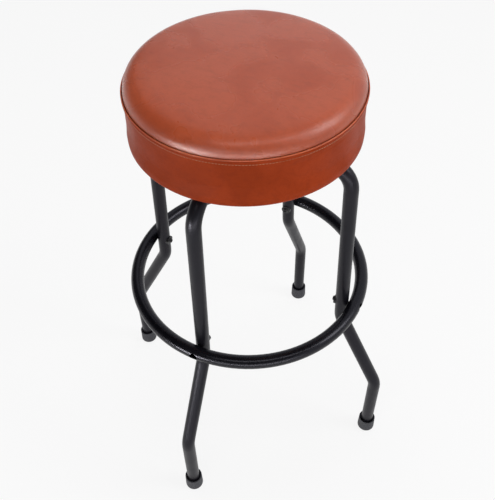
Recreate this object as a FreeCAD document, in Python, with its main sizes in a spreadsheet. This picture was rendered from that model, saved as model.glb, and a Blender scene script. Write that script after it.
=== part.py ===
import FreeCAD, Part
import math
import os
import Sketcher

# Round padded swivel bar stool: two crossed tube leg frames with a bolted foot ring,
# a ball bearing swivel, and a round upholstered seat.
# It stands on z = 0 with the swivel axis on the Z axis, and its legs lie along X and Y.

# Driving dimensions in millimetres: name, value, meaning.
SIZES = (
    ("tube_diameter", "22.2", "outside of the leg tube"),
    ("tube_wall", "1.5", "wall of the leg tube and of the ring tube"),
    ("crown_height", "643", "centre of the leg frames' top run"),
    ("shoulder_reach", "163.5", "leg centre from the axis, carried up to the crown"),
    ("shoulder_bend", "40", "bend radius of the tube under the seat"),
    ("knee_reach", "173.5", "leg centre from the axis at the upper knee"),
    ("upper_knee_height", "317.5", "corner of the upper knee"),
    ("lower_knee_height", "158", "corner of the lower knee"),
    ("knee_bend", "50", "bend radius at both knees"),
    ("foot_reach", "253.5", "foot centre from the axis"),
    ("crossing_play", "1.5", "play beside a tube in the pressed flat it crosses"),
    ("ring_height", "356.5", "centre of the foot ring"),
    ("ring_tube_diameter", "22.2", "outside of the foot ring's tube"),
    ("cap_height", "30", "foot cap"),
    ("cap_base_radius", "16", "foot cap at the floor"),
    ("cap_mouth_radius", "15.2", "foot cap at its top"),
    ("cap_edge", "4", "rounding of the foot cap's lower edge"),
    ("cap_floor", "5", "thickness under the tube"),
    ("cap_chamfer", "2.2", "flare of the foot cap's mouth"),
    ("disc_thickness", "1.5", "steel disc under the tube's end"),
    ("bolt_radius", "3", "shank of every bolt"),
    ("bolt_hole_play", "0.3", "hole radius over the shank"),
    ("head_radius", "5.25", "button head"),
    ("head_height", "3.3", "button head"),
    ("head_top_radius", "3.4", "button head, at its crown"),
    ("socket_radius", "2.3", "hexagon socket, across its corners over two"),
    ("socket_depth", "2", "hexagon socket"),
    ("nut_radius", "5.77", "nut, across its corners over two"),
    ("nut_height", "5", "nut"),
    ("bolt_tip", "0.6", "bolt end past its nut"),
    ("washer_radius", "8.25", "saddle washer"),
    ("washer_thickness", "1.5", "saddle washer over the crest of the tube"),
    ("access_hole_radius", "6.75", "spanner hole in the ring's outer wall"),
    ("frame_bolt_reach", "80", "frame bolts from the axis"),
    ("sheet_thickness", "1.8", "both swivel plates"),
    ("swivel_height", "10.1", "both swivel plates with the balls between"),
    ("lower_plate_side", "150", "square swivel plate on the frames"),
    ("lower_plate_corner", "98", "its rounded corners from the axis"),
    ("upper_plate_side", "112", "square swivel plate under the seat"),
    ("upper_plate_corner", "76", "its rounded corners from the axis"),
    ("hub_radius", "50", "pressed hub of both plates"),
    ("hub_rise", "2", "height of the pressed hubs"),
    ("hub_slope", "3", "width of the slope round the hubs"),
    ("race_radius", "42", "ball circle"),
    ("ball_radius", "2.5", "bearing ball"),
    ("ball_count", "12", "bearing balls"),
    ("running_gap", "0.3", "between pieces that turn past each other"),
    ("cage_width", "9", "ball cage"),
    ("cage_thickness", "1", "ball cage"),
    ("cage_play", "0.2", "ball in its cage hole"),
    ("rivet_radius", "12.8", "hollow centre rivet"),
    ("rivet_bore", "11.3", "bore of the centre rivet"),
    ("rivet_flange", "17", "rolled flanges of the centre rivet"),
    ("rivet_flange_thickness", "1.3", "rolled flanges of the centre rivet"),
    ("seat_bolt_reach", "64", "seat bolts from the axis"),
    ("driver_hole_radius", "7", "holes in the lower plate that reach the seat bolts"),
    ("board_thickness", "12", "plywood seat board"),
    ("board_edge", "5.2", "rounding of the board's lower edge"),
    ("tee_flange_radius", "10", "tee nut flange"),
    ("tee_flange_thickness", "1.4", "tee nut flange"),
    ("tee_barrel_radius", "3.9", "tee nut barrel"),
    ("tee_barrel_length", "9", "tee nut barrel"),
    ("cover_thickness", "1.2", "padded vinyl of the cover"),
    ("band_base_radius", "167.5", "side band at the bottom"),
    ("band_height", "75.4", "side band"),
    ("band_edge", "6", "rounding of the side band's lower edge"),
    ("band_waist", "1.6", "how far the side band is drawn in"),
    ("band_taper", "0.5", "how much less the side band's radius is at the seam"),
    ("channel_drop", "5.2", "topstitched channel below the side band's top edge"),
    ("channel_depth", "0.8", "how far the topstitching draws the side band in"),
    ("channel_lip", "0.5", "bulge of the side band above the topstitched channel"),
    ("flap_width", "33.5", "cover turned under the board"),
    ("welt_radius", "1.7", "raised welt along the seam"),
    ("welt_inset", "1.4", "welt centre inside the seam radius"),
    ("groove_width", "0.8", "stitched groove inside the welt"),
    ("crown_top", "31.5", "crown over the top edge of the side band"),
    ("crown_rise", "6", "crown over the start of the edge roll"),
    ("roll_width", "22.8", "edge roll of the top panel, seen from above"),
    ("panel_drop", "0.6", "edge of the top panel over the band's edge"),
    ("staple_inset", "12", "staples from the inner edge of the turned cover"),
    ("staple_count", "24", "staples round the turned cover"),
    ("staple_length", "10", "staple crown"),
    ("staple_width", "1.2", "staple crown"),
    ("staple_thickness", "0.5", "staple crown"),
    ("seat_gap", "0.1", "between hard pieces that sit on each other"),
    ("ring_gap", "0.2", "between the ring and the legs"),
    ("soft_gap", "0.2", "between the cover and what it is drawn over"),
)

QUARTERS = (("right", 0), ("back", 90), ("left", 180), ("front", 270))
DIAGONALS = range(45, 360, 90)
Z_AXIS = FreeCAD.Vector(0, 0, 1)
UPRIGHT = FreeCAD.Rotation(FreeCAD.Vector(1, 0, 0), 90)
RADIAL = FreeCAD.Rotation(FreeCAD.Vector(0, 1, 0), 90)
STANDING = FreeCAD.Rotation()

doc = FreeCAD.newDocument("bar_stool")
sheet = doc.addObject("Spreadsheet::Sheet", "dims")
nodes = {}


class Size:
    """A value in millimetres that remembers the sheet formula it comes from."""

    def __init__(self, value, text):
        self.value = value
        self.text = text

    def __add__(self, other):
        other = as_size(other)
        return Size(self.value + other.value, f"({self.text} + {other.text})")

    def __sub__(self, other):
        other = as_size(other)
        return Size(self.value - other.value, f"({self.text} - {other.text})")

    def __mul__(self, other):
        other = as_size(other)
        return Size(self.value * other.value, f"({self.text} * {other.text})")

    def __truediv__(self, other):
        other = as_size(other)
        return Size(self.value / other.value, f"({self.text} / {other.text})")

    def __neg__(self):
        return Size(-self.value, f"(0 - {self.text})")


def as_size(number):
    if isinstance(number, Size):
        return number
    return Size(float(number), f"({float(number)!r})")


def root(size):
    return Size(math.sqrt(size.value), f"sqrt({size.text})")


def squared(size):
    return size * size


class Dimensions:
    """Every driving dimension, by its name in the sheet."""

    def __init__(self):
        for row, (name, value, meaning) in enumerate(SIZES, start=1):
            sheet.set(f"A{row}", meaning)
            sheet.set(f"B{row}", value)
            sheet.setAlias(f"B{row}", name)
        doc.recompute()
        for name, value, meaning in SIZES:
            setattr(self, name, Size(float(sheet.get(name)), f"dims.{name}"))


def bind(item, **sizes):
    """Sets properties of a document object and ties those that are sizes to the sheet."""
    for prop, size in sizes.items():
        size = as_size(size)
        setattr(item, prop, size.value)
        item.setExpression(prop, size.text)
    return item


def place(item, x=0, y=0, z=0, turn=STANDING):
    """Puts a document object at a point that follows the sheet."""
    point = [as_size(value) for value in (x, y, z)]
    item.Placement = FreeCAD.Placement(FreeCAD.Vector(*[p.value for p in point]), turn)
    for letter, size in zip("xyz", point):
        item.setExpression(f"Placement.Base.{letter}", size.text)
    return item


def round_about(angle, reach, z=0, turn=STANDING):
    """Keyword values that place something at reach from the axis, turned with its angle."""
    spin = FreeCAD.Rotation(Z_AXIS, angle)
    x = reach * round(math.cos(math.radians(angle)), 12)
    y = reach * round(math.sin(math.radians(angle)), 12)
    return {"x": x, "y": y, "z": z, "turn": spin.multiply(turn)}


def cylinder(name, radius, height, **where):
    return place(bind(doc.addObject("Part::Cylinder", name), Radius=radius, Height=height), **where)


def cone(name, low_radius, high_radius, height, **where):
    item = doc.addObject("Part::Cone", name)
    return place(bind(item, Radius1=low_radius, Radius2=high_radius, Height=height), **where)


def hexagon(name, corner_radius, height, **where):
    item = doc.addObject("Part::Prism", name)
    item.Polygon = 6
    return place(bind(item, Circumradius=corner_radius, Height=height), **where)


def torus(name, radius, tube_radius, **where):
    item = doc.addObject("Part::Torus", name)
    return place(bind(item, Radius1=radius, Radius2=tube_radius), **where)


def fuse(name, *shapes):
    item = doc.addObject("Part::MultiFuse", name)
    item.Shapes = list(shapes)
    return item


def cut(name, base, *tools):
    item = doc.addObject("Part::Cut", name)
    item.Base = base
    item.Tool = tools[0] if len(tools) == 1 else fuse(f"{name}_tools", *tools)
    return item


def common(name, base, tool):
    item = doc.addObject("Part::Common", name)
    item.Base = base
    item.Tool = tool
    return item


def group(name, members):
    item = doc.addObject("Part::Compound", name)
    item.Links = list(members)
    return item


def keep(label, item):
    """Makes a document object one of the stool's pieces."""
    item.Label = label
    nodes[label] = item
    return item


def arc_through(start, end, radius, side):
    """The short arc from start to end; side is 1 if its centre is on the left of the way."""
    chord = end - start
    left = FreeCAD.Vector(-chord.y, chord.x, 0).normalize()
    rise = math.sqrt(radius * radius - chord.Length * chord.Length / 4)
    centre = start + chord * 0.5 + left * (side * rise)
    ends = (start, end) if side > 0 else (end, start)
    angles = [math.atan2(p.y - centre.y, p.x - centre.x) for p in ends]
    return Part.ArcOfCircle(Part.Circle(centre, Z_AXIS, radius), *angles)


def pin_point(sketch, index, vertex, corner):
    """Holds one vertex of a sketch at a corner given by sizes."""
    for axis, kind, size in ((-2, "DistanceX", corner[0]), (-1, "DistanceY", corner[1])):
        if size.value == 0:
            sketch.addConstraint(Sketcher.Constraint("PointOnObject", index, vertex, axis))
            continue
        held = sketch.addConstraint(
            Sketcher.Constraint(kind, -1, 1, index, vertex, size.value)
        )
        sketch.setExpression(f"Constraints[{held}]", size.text)


def outline(name, start, *steps):
    """A closed upright sketch in radius and height, from lines and arcs between given corners.

    A step is (x, z) for a line, or (x, z, radius, side) for an arc.
    """
    sketch = doc.addObject("Sketcher::SketchObject", name)
    sketch.Placement = FreeCAD.Placement(FreeCAD.Vector(), UPRIGHT)
    corners = [tuple(as_size(value) for value in corner[:2]) for corner in (start, *steps)]
    points = [FreeCAD.Vector(x.value, z.value, 0) for x, z in corners]
    begins = []
    ends = []
    for count, step in enumerate((*steps, start), start=1):
        here, there = points[count - 1], points[count % len(points)]
        if len(step) == 2:
            index = sketch.addGeometry(Part.LineSegment(here, there))
            begins.append((index, 1))
            ends.append((index, 2))
            continue
        radius, side = as_size(step[2]), step[3]
        index = sketch.addGeometry(arc_through(here, there, radius.value, side))
        begins.append((index, 1 if side > 0 else 2))
        ends.append((index, 2 if side > 0 else 1))
        held = sketch.addConstraint(Sketcher.Constraint("Radius", index, radius.value))
        sketch.setExpression(f"Constraints[{held}]", radius.text)
    for count, begin in enumerate(begins):
        sketch.addConstraint(Sketcher.Constraint("Coincident", *ends[count - 1], *begin))
        pin_point(sketch, *begin, corners[count])
    return sketch


def turned(name, start, *steps):
    """A solid of revolution about the Z axis."""
    item = doc.addObject("Part::Revolution", name)
    item.Source = outline(f"{name}_outline", start, *steps)
    item.Axis = Z_AXIS
    item.Base = FreeCAD.Vector()
    item.Angle = 360
    item.Solid = True
    return item


def bow_radius(width, height, rise):
    """Radius of an arc over a chord of that width and height, bowed by rise."""
    return (squared(width) + squared(height)) / (rise * 8) + rise / 2


dims = Dimensions()

# Heights and radii that follow from the driving dimensions.
tube_radius = dims.tube_diameter / 2
tube_bore = tube_radius - dims.tube_wall
ring_tube_radius = dims.ring_tube_diameter / 2
ring_tube_bore = ring_tube_radius - dims.tube_wall
tube_end = dims.cap_floor + dims.seat_gap + dims.disc_thickness + dims.seat_gap
leg_fall = dims.crown_height - dims.upper_knee_height
leg_lean = (dims.knee_reach - dims.shoulder_reach) / leg_fall
leg_at_ring = dims.knee_reach - leg_lean * (dims.ring_height - dims.upper_knee_height)
ring_radius = leg_at_ring + tube_radius + dims.ring_gap + ring_tube_radius
bolt_hole = dims.bolt_radius + dims.bolt_hole_play
swivel_base = dims.crown_height + tube_radius + dims.seat_gap
swivel_top = swivel_base + dims.swivel_height
board_base = swivel_top + dims.seat_gap
board_top = board_base + dims.board_thickness
flap_top = board_base - dims.seat_gap
band_base = flap_top - dims.cover_thickness
band_top = band_base + dims.band_height
seam_radius = dims.band_base_radius - dims.band_taper
flap_radius = dims.band_base_radius - dims.flap_width
channel_radius = seam_radius - dims.channel_depth
channel_height = band_top - dims.channel_drop


def tube_path(name):
    """Centre line of one leg frame: foot, two knees, crown, two knees, foot."""
    left_half = [
        (-dims.foot_reach, tube_end, None),
        (-dims.foot_reach, dims.lower_knee_height, dims.knee_bend),
        (-dims.knee_reach, dims.upper_knee_height, dims.knee_bend),
        (-dims.shoulder_reach, dims.crown_height, dims.shoulder_bend),
    ]
    right_half = [(-x, z, bend) for x, z, bend in reversed(left_half)]
    stations = left_half + right_half
    points = [FreeCAD.Vector(x.value, z.value, 0) for x, z, bend in stations]
    sketch = doc.addObject("Sketcher::SketchObject", name)
    sketch.Placement = FreeCAD.Placement(FreeCAD.Vector(), UPRIGHT)
    run_start = points[0]
    joins = []
    last = len(stations) - 1
    for count in range(1, last):
        corner, bend = points[count], stations[count][2]
        back = (points[count - 1] - corner).normalize()
        ahead = (points[count + 1] - corner).normalize()
        half_turn = (math.pi - back.getAngle(ahead)) / 2
        reach = bend.value * math.tan(half_turn)
        enter, leave = corner + back * reach, corner + ahead * reach
        side = 1 if back.cross(ahead).z < 0 else -1
        line = sketch.addGeometry(Part.LineSegment(run_start, enter))
        arc = sketch.addGeometry(arc_through(enter, leave, bend.value, side))
        mark = sketch.addGeometry(Part.Point(corner), True)
        first, second = (1, 2) if side > 0 else (2, 1)
        joins.append((line, 2, arc, first))
        joins.append((arc, second, mark + 1, 1))
        held = sketch.addConstraint(Sketcher.Constraint("Radius", arc, bend.value))
        sketch.setExpression(f"Constraints[{held}]", bend.text)
        pin_point(sketch, mark, 1, stations[count])
        joins.append((mark, 1, line))
        joins.append((mark, 1, mark + 1))
        run_start = leave
    final = sketch.addGeometry(Part.LineSegment(run_start, points[last]))
    for join in joins:
        kind = "Tangent" if len(join) == 4 else "PointOnObject"
        sketch.addConstraint(Sketcher.Constraint(kind, *join))
    pin_point(sketch, 0, 1, stations[0])
    pin_point(sketch, final, 2, stations[last])
    return sketch


def tube_sweep(name, path, radius):
    """A rod of that radius along a leg frame's centre line."""
    ring = doc.addObject("Sketcher::SketchObject", f"{name}_section")
    place(ring, x=-dims.foot_reach, z=tube_end)
    circle = Part.Circle(FreeCAD.Vector(), Z_AXIS, radius.value)
    index = ring.addGeometry(circle)
    ring.addConstraint(Sketcher.Constraint("Coincident", index, 3, -1, 1))
    held = ring.addConstraint(Sketcher.Constraint("Radius", index, radius.value))
    ring.setExpression(f"Constraints[{held}]", radius.text)
    item = doc.addObject("Part::Sweep", name)
    item.Sections = [ring]
    item.Spine = (path, [f"Edge{count}" for count in range(1, 14)])
    item.Solid = True
    item.Frenet = False
    return item


def crossing_die(name, face, pressed_down, growth):
    """The press tool that flattens one half of a crown where the other tube crosses it."""
    flat = tube_radius + dims.crossing_play + growth
    depth = tube_radius * 2
    item = doc.addObject("Part::Wedge", name)
    flat_end = {"Xmin": -flat, "Xmax": flat}
    open_end = {"Xmin": -(flat + depth), "Xmax": flat + depth}
    low, high = (flat_end, open_end) if pressed_down else (open_end, flat_end)
    bind(item, **low, X2min=high["Xmin"], X2max=high["Xmax"])
    bind(item, Ymin=0, Ymax=depth, Zmin=-depth, Zmax=depth, Z2min=-depth, Z2max=depth)
    bottom = face if pressed_down else face - depth
    return place(item, z=bottom, turn=UPRIGHT)


def leg_frame(label, turn, pressed_down):
    """A bent tube with its crown pressed half flat, so that two of them cross in one level."""
    path = tube_path(f"{label}_path")
    outside = tube_sweep(f"{label}_outside", path, tube_radius)
    inside = tube_sweep(f"{label}_inside", path, tube_bore)
    wall = dims.tube_wall if pressed_down else -dims.tube_wall
    play = dims.seat_gap / 2 if pressed_down else -(dims.seat_gap / 2)
    face = dims.crown_height - play
    die = crossing_die(f"{label}_die", face, pressed_down, as_size(0))
    core = crossing_die(f"{label}_core", face - wall, pressed_down, dims.tube_wall)
    pressed = cut(f"{label}_pressed", outside, die)
    hollow = cut(f"{label}_hollow", inside, core)
    holes = []
    for side in (0, 180):
        where = round_about(side, dims.frame_bolt_reach, dims.crown_height - tube_radius * 2)
        name = f"{label}_frame_hole_{side}"
        holes.append(cylinder(name, bolt_hole, tube_radius * 4, **where))
        where = round_about(side, leg_at_ring - tube_radius * 2, dims.ring_height, RADIAL)
        name = f"{label}_ring_hole_{side}"
        holes.append(cylinder(name, bolt_hole, tube_radius * 4, **where))
    frame = cut(label, pressed, hollow, *holes)
    return keep(label, place(frame, turn=FreeCAD.Rotation(Z_AXIS, turn)))


def foot_ring():
    """The foot rest: a closed ring of tube, drilled for its four bolts."""
    outside = torus("ring_outside", ring_radius, ring_tube_radius, z=dims.ring_height)
    inside = torus("ring_inside", ring_radius, ring_tube_bore, z=dims.ring_height)
    holes = []
    for side, angle in QUARTERS:
        inner = round_about(angle, ring_radius - ring_tube_radius * 2, dims.ring_height, RADIAL)
        holes.append(cylinder(f"ring_hole_{side}", bolt_hole, ring_tube_radius * 2, **inner))
        outer = round_about(angle, ring_radius, dims.ring_height, RADIAL)
        name = f"ring_access_{side}"
        holes.append(cylinder(name, dims.access_hole_radius, ring_tube_radius * 2, **outer))
    keep("foot_ring", cut("foot_ring", outside, inside, *holes))


def foot_parts():
    """The rubber cap under each leg, and the steel disc that keeps the tube out of its floor."""
    mouth = tube_radius + dims.seat_gap
    flare = mouth + dims.cap_chamfer
    discs = []
    for side, angle in QUARTERS:
        cap = turned(
            f"cap_{side}",
            (0, 0),
            (dims.cap_base_radius - dims.cap_edge, 0),
            (dims.cap_base_radius, dims.cap_edge, dims.cap_edge, 1),
            (dims.cap_mouth_radius, dims.cap_height),
            (flare, dims.cap_height),
            (mouth, dims.cap_height - dims.cap_chamfer * 2),
            (mouth, dims.cap_floor),
            (0, dims.cap_floor),
        )
        keep(f"foot_cap_{side}", place(cap, **round_about(angle, dims.foot_reach)))
        where = round_about(angle, dims.foot_reach, dims.cap_floor + dims.seat_gap)
        radius = tube_radius - dims.seat_gap
        discs.append(cylinder(f"foot_disc_{side}", radius, dims.disc_thickness, **where))
    keep("foot_discs", group("foot_discs", discs))


def button_bolt(name, seat, length, angle, reach=None, z=None):
    """A button head bolt; seat is where its head bears.

    With a reach it points up at that distance from the axis; with a z it points outwards.
    """

    def at(offset):
        if z is None:
            return round_about(angle, reach, seat + offset)
        return round_about(angle, seat + offset, z, RADIAL)

    head_at = at(-dims.head_height)
    rims = (dims.head_top_radius, dims.head_radius)
    head = cone(f"{name}_head", *rims, dims.head_height, **head_at)
    shank = cylinder(f"{name}_shank", dims.bolt_radius, length, **at(as_size(0)))
    socket = hexagon(f"{name}_socket", dims.socket_radius, dims.socket_depth, **head_at)
    return cut(name, fuse(f"{name}_body", head, shank), socket)


def nut(name, where):
    """A plain hexagon nut, with its bearing face at that place."""
    body = hexagon(f"{name}_body", dims.nut_radius, dims.nut_height, **where)
    bore_radius = dims.bolt_radius + dims.seat_gap / 2
    bore = cylinder(f"{name}_bore", bore_radius, dims.nut_height, **where)
    return cut(name, body, bore)


def saddle_washer(name, where, tube):
    """A round washer hollowed to sit on the tube, with its flat face at that place."""
    clear = tube_radius + dims.seat_gap
    hollow = clear - root(squared(clear) - squared(dims.washer_radius))
    height = dims.washer_thickness + hollow
    body = cylinder(f"{name}_body", dims.washer_radius, height, **where)
    hole = cylinder(f"{name}_hole", bolt_hole, height, **where)
    return cut(name, body, hole, tube)


def ring_fasteners():
    """Bolts from inside each leg into a nut inside the ring's tube."""
    head_seat = leg_at_ring - tube_radius - dims.seat_gap - dims.washer_thickness
    clear = ring_tube_bore - root(squared(ring_tube_bore) - squared(dims.nut_radius))
    nut_seat = ring_radius - ring_tube_bore + clear + dims.seat_gap
    length = nut_seat + dims.nut_height + dims.bolt_tip - head_seat
    lean = math.degrees(math.atan(leg_lean.value))
    bolts = []
    washers = []
    nuts = []
    for side, angle in QUARTERS:
        name = f"ring_bolt_{side}"
        bolts.append(button_bolt(name, head_seat, length, angle, z=dims.ring_height))
        leg = cylinder(
            f"ring_washer_leg_{side}",
            tube_radius + dims.seat_gap,
            dims.washer_radius * 4,
            **round_about(
                angle,
                leg_at_ring + leg_lean * dims.washer_radius * 2,
                dims.ring_height - dims.washer_radius * 2,
                FreeCAD.Rotation(FreeCAD.Vector(0, 1, 0), -lean),
            ),
        )
        where = round_about(angle, head_seat, dims.ring_height, RADIAL)
        washers.append(saddle_washer(f"ring_washer_{side}", where, leg))
        where = round_about(angle, nut_seat, dims.ring_height, RADIAL)
        nuts.append(nut(f"ring_nut_{side}", where))
    keep("ring_bolts", group("ring_bolts", bolts))
    keep("ring_washers", group("ring_washers", washers))
    keep("ring_nuts", group("ring_nuts", nuts))


def frame_fasteners():
    """Bolts up through both crowns into nuts on the lower swivel plate."""
    head_seat = dims.crown_height - tube_radius - dims.seat_gap - dims.washer_thickness
    nut_seat = swivel_base + dims.sheet_thickness
    length = nut_seat + dims.nut_height + dims.bolt_tip - head_seat
    bolts = []
    washers = []
    nuts = []
    for side, angle in QUARTERS:
        name = f"frame_bolt_{side}"
        bolts.append(button_bolt(name, head_seat, length, angle, reach=dims.frame_bolt_reach))
        crown = cylinder(
            f"frame_washer_crown_{side}",
            tube_radius + dims.seat_gap,
            dims.washer_radius * 4,
            **round_about(
                angle,
                dims.frame_bolt_reach - dims.washer_radius * 2,
                dims.crown_height,
                RADIAL,
            ),
        )
        where = round_about(angle, dims.frame_bolt_reach, head_seat)
        washers.append(saddle_washer(f"frame_washer_{side}", where, crown))
        where = round_about(angle, dims.frame_bolt_reach, nut_seat)
        nuts.append(nut(f"frame_nut_{side}", where))
    keep("frame_bolts", group("frame_bolts", bolts))
    keep("frame_washers", group("frame_washers", washers))
    keep("frame_nuts", group("frame_nuts", nuts))


def swivel_plate(label, side, corner, outer_face, upwards, centre_hole, turn, holes):
    """A pressed square plate whose round hub carries the ball race.

    outer_face is the face away from the balls, and the hub is pressed towards them.
    """
    way = 1 if upwards else -1
    ball_level = swivel_base + dims.swivel_height / 2
    flat_inner = outer_face + dims.sheet_thickness * way
    hub_outer = outer_face + dims.hub_rise * way
    hub_inner = flat_inner + dims.hub_rise * way
    race = dims.ball_radius + dims.running_gap
    race_back = race + dims.sheet_thickness
    lap = dims.hub_radius + dims.hub_slope * 3
    groove = root(squared(race) - squared(ball_level - hub_inner))
    bulge = root(squared(race_back) - squared(ball_level - hub_outer))
    slope_end = dims.hub_radius + dims.hub_slope
    hub = turned(
        f"{label}_hub",
        (centre_hole, hub_inner),
        (dims.race_radius - groove, hub_inner),
        (dims.race_radius + groove, hub_inner, race, way),
        (dims.hub_radius, hub_inner),
        (slope_end, flat_inner),
        (lap, flat_inner),
        (lap, outer_face),
        (slope_end, outer_face),
        (dims.hub_radius, hub_outer),
        (dims.race_radius + bulge, hub_outer),
        (dims.race_radius - bulge, hub_outer, race_back, -way),
        (centre_hole, hub_outer),
    )
    low_face = outer_face if upwards else outer_face - dims.sheet_thickness
    square = bind(
        doc.addObject("Part::Box", f"{label}_square"),
        Length=side,
        Width=side,
        Height=dims.sheet_thickness,
    )
    half = side / 2 if turn == 0 else side / math.sqrt(2)
    corner_x = -half if turn == 0 else as_size(0)
    spin = FreeCAD.Rotation(Z_AXIS, turn)
    place(square, x=corner_x, y=-half, z=low_face, turn=spin)
    disc = cylinder(f"{label}_disc", corner, dims.sheet_thickness, z=low_face)
    middle = cylinder(f"{label}_middle", slope_end, dims.sheet_thickness, z=low_face)
    trimmed = cut(f"{label}_trimmed", common(f"{label}_round", square, disc), middle)
    drills = []
    for count, (angle, reach, radius) in enumerate(holes):
        where = round_about(angle, reach, low_face - dims.sheet_thickness)
        name = f"{label}_hole_{count}"
        drills.append(cylinder(name, radius, dims.sheet_thickness * 3, **where))
    return keep(label, cut(label, fuse(f"{label}_sheet", hub, trimmed), *drills))


def swivel():
    """Two pressed plates that turn on caged balls, held together by a hollow rivet."""
    lower_holes = [(angle, dims.frame_bolt_reach, bolt_hole) for side, angle in QUARTERS]
    lower_holes += [(angle, dims.seat_bolt_reach, dims.driver_hole_radius) for angle in DIAGONALS]
    swivel_plate(
        "swivel_lower_plate",
        dims.lower_plate_side,
        dims.lower_plate_corner,
        swivel_base,
        True,
        dims.rivet_radius + dims.running_gap,
        45,
        lower_holes,
    )
    upper_holes = [(angle, dims.seat_bolt_reach, bolt_hole) for angle in DIAGONALS]
    swivel_plate(
        "swivel_upper_plate",
        dims.upper_plate_side,
        dims.upper_plate_corner,
        swivel_top,
        False,
        dims.rivet_radius + dims.seat_gap,
        0,
        upper_holes,
    )
    ball_level = swivel_base + dims.swivel_height / 2
    count = int(dims.ball_count.value)
    balls = []
    pockets = []
    for number in range(count):
        angle = 360 * number / count
        name = f"ball_{number}"
        ball = bind(doc.addObject("Part::Sphere", name), Radius=dims.ball_radius)
        balls.append(place(ball, **round_about(angle, dims.race_radius, ball_level)))
        where = round_about(angle, dims.race_radius, ball_level - dims.cage_thickness)
        radius = dims.ball_radius + dims.cage_play
        pockets.append(cylinder(f"pocket_{number}", radius, dims.cage_thickness * 2, **where))
    keep("bearing_balls", group("bearing_balls", balls))
    low = ball_level - dims.cage_thickness / 2
    outer = dims.race_radius + dims.cage_width / 2
    inner = dims.race_radius - dims.cage_width / 2
    band = cylinder("cage_band", outer, dims.cage_thickness, z=low)
    eye = cylinder("cage_eye", inner, dims.cage_thickness, z=low)
    keep("ball_cage", cut("ball_cage", band, eye, *pockets))
    hub_low = swivel_base + dims.hub_rise
    hub_high = swivel_top - dims.hub_rise
    flange_low = hub_low - dims.running_gap - dims.rivet_flange_thickness
    flange_high = hub_high + dims.rivet_flange_thickness
    keep(
        "swivel_rivet",
        turned(
            "swivel_rivet",
            (dims.rivet_bore, flange_low),
            (dims.rivet_flange, flange_low),
            (dims.rivet_flange, hub_low - dims.running_gap),
            (dims.rivet_radius, hub_low - dims.running_gap),
            (dims.rivet_radius, hub_high),
            (dims.rivet_flange, hub_high),
            (dims.rivet_flange, flange_high),
            (dims.rivet_bore, flange_high),
        ),
    )


def seat_board():
    """Plywood disc with its lower edge rounded for the cover, and a hole for each tee nut."""
    radius = dims.band_base_radius - dims.cover_thickness - dims.soft_gap
    disc = turned(
        "board_disc",
        (0, board_base),
        (radius - dims.board_edge, board_base),
        (radius, board_base + dims.board_edge, dims.board_edge, 1),
        (radius, board_top),
        (0, board_top),
    )
    holes = []
    for angle in DIAGONALS:
        where = round_about(angle, dims.seat_bolt_reach, board_base)
        hole = dims.tee_barrel_radius + dims.seat_gap
        holes.append(cylinder(f"board_hole_{angle}", hole, dims.board_thickness, **where))
    keep("seat_board", cut("seat_board", disc, *holes))


def seat_fasteners():
    """Bolts from under the upper swivel plate into tee nuts on top of the board."""
    head_seat = swivel_top - dims.sheet_thickness
    length = board_top - head_seat
    bolts = []
    tee_nuts = []
    for angle in DIAGONALS:
        name = f"seat_bolt_{angle}"
        bolts.append(button_bolt(name, head_seat, length, angle, reach=dims.seat_bolt_reach))
        flange_at = round_about(angle, dims.seat_bolt_reach, board_top)
        barrel_at = round_about(angle, dims.seat_bolt_reach, board_top - dims.tee_barrel_length)
        name = f"tee_{angle}"
        flange = cylinder(
            f"{name}_flange", dims.tee_flange_radius, dims.tee_flange_thickness, **flange_at
        )
        barrel = cylinder(
            f"{name}_barrel", dims.tee_barrel_radius, dims.tee_barrel_length, **barrel_at
        )
        full = dims.tee_barrel_length + dims.tee_flange_thickness
        bore = cylinder(
            f"{name}_bore", dims.bolt_radius + dims.seat_gap / 2, full, **barrel_at
        )
        tee_nuts.append(cut(name, fuse(f"{name}_body", flange, barrel), bore))
    keep("seat_bolts", group("seat_bolts", bolts))
    keep("tee_nuts", group("tee_nuts", tee_nuts))


def crown_points(skin):
    """Top of the cushion, lowered by skin: rim, start of the edge roll, middle, and both radii."""
    rim_x = seam_radius - dims.welt_inset - dims.welt_radius - dims.groove_width
    rim_z = band_top + dims.panel_drop
    start_x = rim_x - dims.roll_width
    middle_z = band_top + dims.crown_top
    start_z = middle_z - dims.crown_rise
    crown = (squared(start_x) + squared(dims.crown_rise)) / (dims.crown_rise * 2)
    lean_x = start_x / crown
    lean_z = (crown - dims.crown_rise) / crown
    run = rim_x - start_x
    fall = start_z - rim_z
    roll = (squared(run) + squared(fall)) / ((fall * lean_z - run * lean_x) * 2)
    roll_x = start_x - roll * lean_x
    roll_z = start_z - roll * lean_z
    share = (roll - skin) / roll
    rim = (roll_x + (rim_x - roll_x) * share, roll_z + (rim_z - roll_z) * share)
    start = (start_x - skin * lean_x, start_z - skin * lean_z)
    return rim, start, (0, middle_z - skin), roll - skin, crown - skin


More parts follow.
